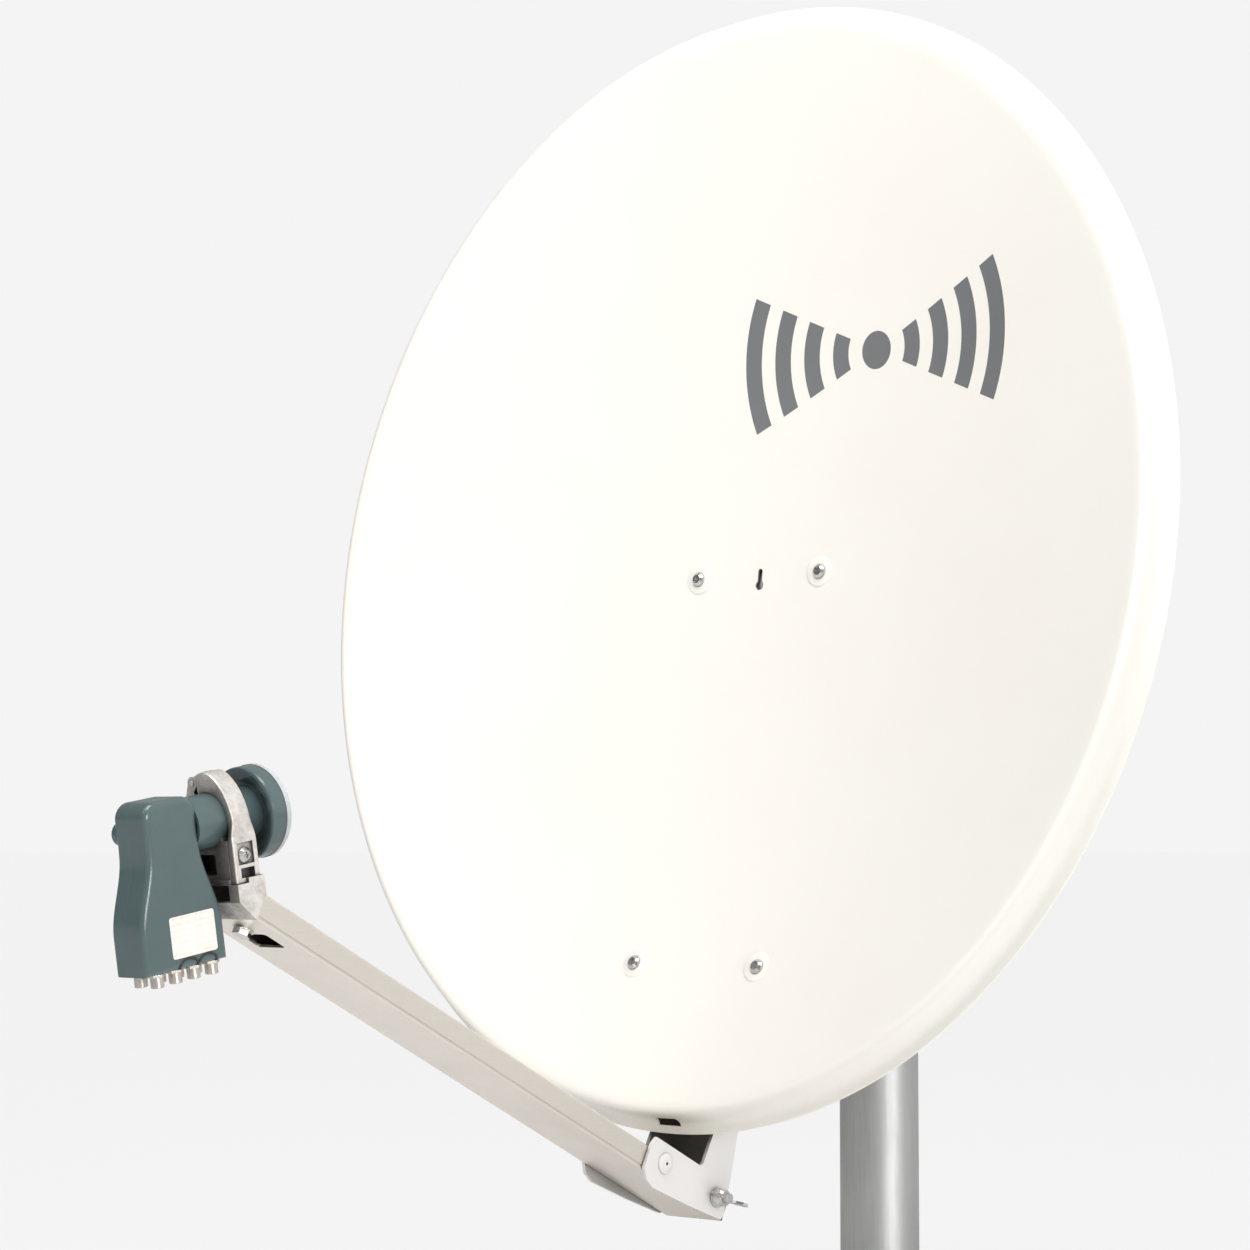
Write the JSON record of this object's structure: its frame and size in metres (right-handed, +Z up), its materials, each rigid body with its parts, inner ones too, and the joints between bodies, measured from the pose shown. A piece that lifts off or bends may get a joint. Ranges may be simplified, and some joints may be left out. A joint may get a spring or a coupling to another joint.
{
  "type": "satellite dish",
  "caption": "Offset parabolic satellite dish on a round mast, with a flat feed arm, a hinged LNB clamp and a multi-output LNB.",
  "frame": {"origin": "centre of the mast's foot, on the mast's axis", "axes": "+Z up along the mast, the dish faces -Y, +X to the dish's left-hand side as seen from behind"},
  "size_m": [0.8876, 0.9175, 1.1971],
  "materials": {
    "galvanised_mast": "galvanised, satin",
    "galvanised_steel": "galvanised, matt",
    "zinc_fasteners": "bright zinc",
    "cream_paint": "satin powder coat over aluminium sheet",
    "white_paint": "satin powder coat",
    "arm_aluminium": "drawn, fine grain",
    "die_cast": "die cast",
    "horn_casting": "machined casting",
    "casing_plastic": "semi gloss",
    "cap_plastic": "translucent",
    "white_plastic": "matt",
    "black_plastic": "matt",
    "seal_rubber": "matt",
    "board": "solder mask",
    "nickel_outputs": "nickel plated",
    "brass_contacts": "bright",
    "label_paper": "satin label"
  },
  "bodies": {
    "mast": {"mast_tube": "galvanised_mast", "mast_cap": "black_plastic"},
    "head": {"mast_saddle": "galvanised_steel", "tilt_yoke": "galvanised_steel", "upper_mast_jaw": "galvanised_steel", "lower_mast_jaw": "galvanised_steel", "clamp_bolts": "zinc_fasteners", "clamp_washers": "zinc_fasteners", "clamp_nuts": "zinc_fasteners", "elevation_pivot_bolt": "zinc_fasteners", "elevation_pivot_nut": "zinc_fasteners", "elevation_lock_bolt": "zinc_fasteners", "elevation_lock_nut": "zinc_fasteners", "elevation_washers": "zinc_fasteners"},
    "dish": {"reflector": "cream_paint", "reflector_screws": "zinc_fasteners", "reflector_spacers": "black_plastic", "reflector_nuts": "zinc_fasteners", "upper_cross_plate": "white_paint", "lower_cross_plate": "white_paint", "back_spine": "white_paint", "arm_pivot_rivet": "white_paint", "arm_lock_bolt": "zinc_fasteners", "arm_lock_washer": "zinc_fasteners"},
    "wing_nut": {"wing_nut": "zinc_fasteners"},
    "arm": {"feed_arm": "arm_aluminium", "arm_end_plug": "black_plastic", "holder_bolt": "zinc_fasteners", "holder_bolt_washer": "zinc_fasteners", "lnb_holder": "die_cast", "strap_hinge_pin": "zinc_fasteners"},
    "strap": {"clamp_strap": "die_cast", "strap_screw": "zinc_fasteners"},
    "lnb": {"lnb_neck": "casing_plastic", "feed_collar": "casing_plastic", "feed_cap": "cap_plastic", "waveguide_horn": "horn_casting", "left_case_shell": "casing_plastic", "right_case_shell": "casing_plastic", "casing_seal": "seal_rubber", "case_plug": "casing_plastic", "shell_screws": "zinc_fasteners", "circuit_board": "board", "feed_probes": "brass_contacts", "f_outputs": "nickel_outputs", "output_insulators": "white_plastic", "output_contacts": "brass_contacts", "blank_label": "label_paper"}
  },
  "joints": [
    {"name": "azimuth", "type": "hinge", "parent": "mast", "child": "head", "pos_m": [0, 0, 0.54], "axis": [0, 0, 1], "continuous": true},
    {"name": "elevation", "type": "hinge", "parent": "head", "child": "dish", "pos_m": [0, -0.11843, 0.60068], "axis": [-1, 0, 0], "range_deg": [-22, 18]},
    {"name": "arm_fold", "type": "hinge", "parent": "dish", "child": "arm", "pos_m": [0, -0.33699, 0.21719], "axis": [-1, 0, 0], "range_deg": [0, 55]},
    {"name": "wing_nut_turn", "type": "hinge", "parent": "dish", "child": "wing_nut", "pos_m": [0.04, -0.27186, 0.1849], "axis": [1, 0, 0], "continuous": true},
    {"name": "strap_hinge", "type": "hinge", "parent": "arm", "child": "strap", "pos_m": [-0.012, -0.79398, 0.51788], "axis": [0, -0.9863, -0.165], "range_deg": [0, 95]},
    {"name": "lnb_skew", "type": "hinge", "parent": "arm", "child": "lnb", "pos_m": [0, -0.791, 0.491], "axis": [0, 0.9863, 0.165], "range_deg": [-30, 30]}
  ]
}
